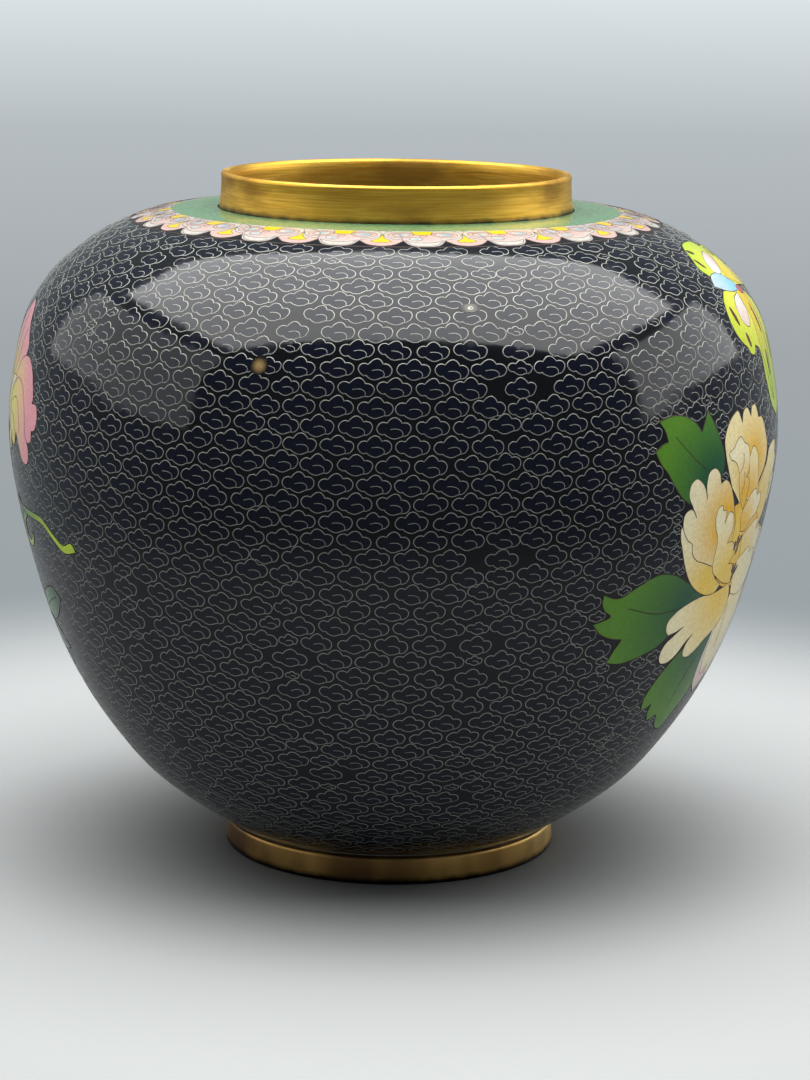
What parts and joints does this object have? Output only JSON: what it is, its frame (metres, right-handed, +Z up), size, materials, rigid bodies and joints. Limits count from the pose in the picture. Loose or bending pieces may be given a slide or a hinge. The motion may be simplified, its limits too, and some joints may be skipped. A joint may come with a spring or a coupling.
{
  "type": "cloisonne vase",
  "caption": "Wide-shouldered round enamelled metal jar with a short collar, open mouth and ring foot, for display or for holding flowers.",
  "frame": {"origin": "centre of the foot ring's underside, on the surface that the vase stands on", "axes": "+Z up the vase's axis towards the mouth; -Y towards the side with the plain cloud ground, +X towards the cream peony"},
  "size_m": [0.24, 0.24, 0.2137],
  "materials": {
    "gilt_brass": "worn gilt brass, brushed round the ring, brown patina low down",
    "aged_brass": "darkened brass with a nearly black lower edge",
    "copper": "plain spun copper, hidden under the enamel",
    "wire": "flat copper-alloy wire ground flush with the enamel and polished",
    "ground": "near-black glossy enamel with navy cells inside cloud-shaped wires",
    "mint": "mint-green glossy enamel",
    "lappet": "glossy enamel in cream, pink, white, pale blue and yellow cells",
    "turquoise": "turquoise counter-enamel, slightly pitted",
    "cream": "glossy enamel shaded from cream to amber",
    "pink": "glossy enamel shaded from pale pink to rose",
    "lilac": "glossy enamel shaded from white to lilac",
    "leaf": "glossy enamel shaded from yellow-green to dark green",
    "lime": "glossy yellow-green enamel",
    "sky": "glossy pale blue enamel"
  },
  "bodies": {
    "root": {"neck_collar": "gilt_brass", "foot_ring": "aged_brass", "copper_shoulder": "copper", "copper_bowl": "copper", "base_plate": "copper", "neck_wire": "wire", "lappet_wire": "wire", "foot_wire": "wire", "ground_enamel": "ground", "neck_band_enamel": "mint", "lappet_band_enamel": "lappet", "interior_enamel": "turquoise", "base_enamel": "turquoise", "cream_peony_upper": "cream", "cream_peony_lower": "cream", "cream_peony_leaf_upper": "leaf", "cream_peony_leaf_middle": "leaf", "cream_peony_leaf_lower": "leaf", "butterfly_forewing": "lime", "butterfly_hindwing": "lime", "butterfly_body": "sky", "pink_peony": "pink", "pink_peony_bud": "pink", "pink_peony_leaf": "leaf", "pink_peony_tendril": "lime", "lilac_peony": "lilac", "lilac_peony_bud": "lilac", "lilac_peony_leaf_left": "leaf", "lilac_peony_leaf_right": "leaf", "lilac_peony_leaf_lower": "leaf"}
  },
  "joints": []
}
